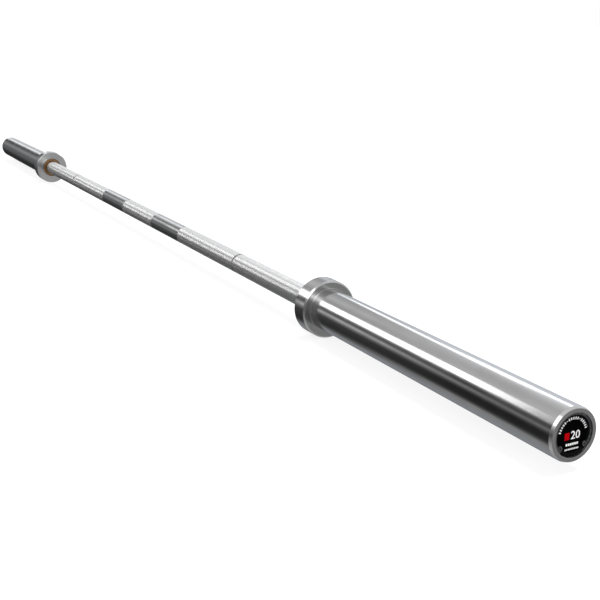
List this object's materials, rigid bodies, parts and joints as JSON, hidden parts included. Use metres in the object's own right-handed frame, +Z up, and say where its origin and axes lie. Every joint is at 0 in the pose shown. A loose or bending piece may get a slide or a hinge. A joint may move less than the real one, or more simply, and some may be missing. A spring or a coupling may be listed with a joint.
{
  "type": "olympic barbell",
  "caption": "Straight knurled steel bar with a round collar and a long spinning sleeve for weight plates at each end, held by snap rings.",
  "frame": {"origin": "on the bar's axis, midway between the two collars", "axes": "+X along the bar towards the right sleeve, +Z up, Y across the bar"},
  "size_m": [2.2, 0.07, 0.07],
  "materials": {
    "knurled_chrome": "hard chrome over diamond knurling, with polished bands and lands between",
    "polished_chrome": "hard chrome, polished along fine turning marks",
    "bronze": "sintered oil-filled bronze, satin",
    "bare_steel": "ground steel",
    "black_oxide_steel": "spring steel with a dark phosphate finish",
    "black_plastic": "black moulded plastic",
    "label_film": "gloss black printed film with plain white and red marks"
  },
  "bodies": {
    "bar": {"shaft": "knurled_chrome", "left_spindle_snap_ring": "black_oxide_steel", "right_spindle_snap_ring": "black_oxide_steel"},
    "left_sleeve_group": {"left_collar": "polished_chrome", "left_sleeve": "polished_chrome", "left_inner_bush": "bronze", "left_inner_thrust_washer": "bare_steel", "left_outer_bush": "bronze", "left_outer_thrust_washer": "bare_steel", "left_end_cap": "black_plastic", "left_end_label": "label_film", "left_end_snap_ring": "black_oxide_steel"},
    "right_sleeve_group": {"right_collar": "polished_chrome", "right_sleeve": "polished_chrome", "right_inner_bush": "bronze", "right_inner_thrust_washer": "bare_steel", "right_outer_bush": "bronze", "right_outer_thrust_washer": "bare_steel", "right_end_cap": "black_plastic", "right_end_label": "label_film", "right_end_snap_ring": "black_oxide_steel"}
  },
  "joints": [
    {"name": "left_sleeve_spin", "type": "hinge", "parent": "bar", "child": "left_sleeve_group", "pos_m": [-0.655, 0, 0], "axis": [1, 0, 0], "continuous": true},
    {"name": "right_sleeve_spin", "type": "hinge", "parent": "bar", "child": "right_sleeve_group", "pos_m": [0.655, 0, 0], "axis": [1, 0, 0], "continuous": true}
  ]
}
